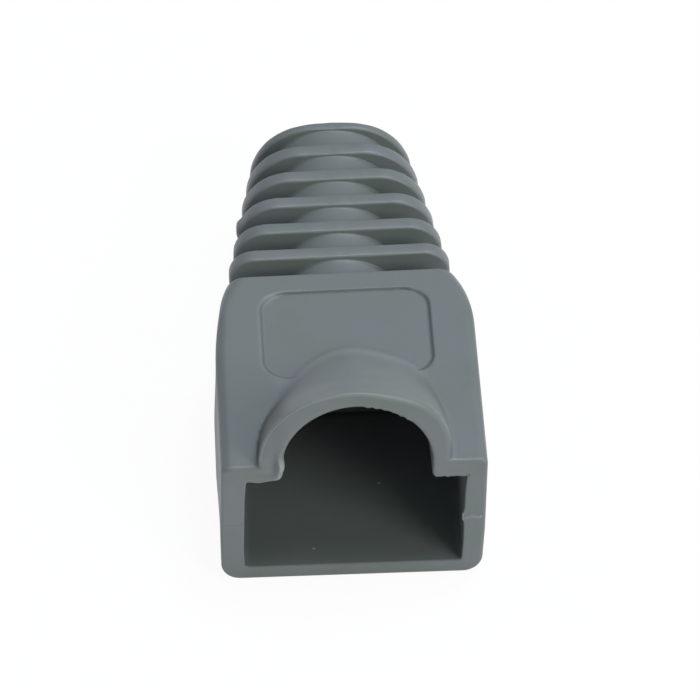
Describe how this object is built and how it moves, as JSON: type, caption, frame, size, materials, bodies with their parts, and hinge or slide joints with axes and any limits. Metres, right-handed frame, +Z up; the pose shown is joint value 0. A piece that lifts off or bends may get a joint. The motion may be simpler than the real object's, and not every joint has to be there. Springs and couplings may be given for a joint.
{
  "type": "rj45 strain relief boot",
  "caption": "Soft moulded boot with a rectangular plug socket, an arched latch hood and a ribbed, tapering neck bored for a cable.",
  "frame": {"origin": "middle of the bounding box's underside, on the flat face that the boot lies on", "axes": "+X across the boot, +Y from the plug mouth to the cable end along the neck's axis, +Z up towards the latch hood"},
  "size_m": [0.0142, 0.0294, 0.0129],
  "materials": {
    "soft_pvc": "satin"
  },
  "bodies": {
    "root": {"strain_relief_boot": "soft_pvc"}
  },
  "joints": []
}
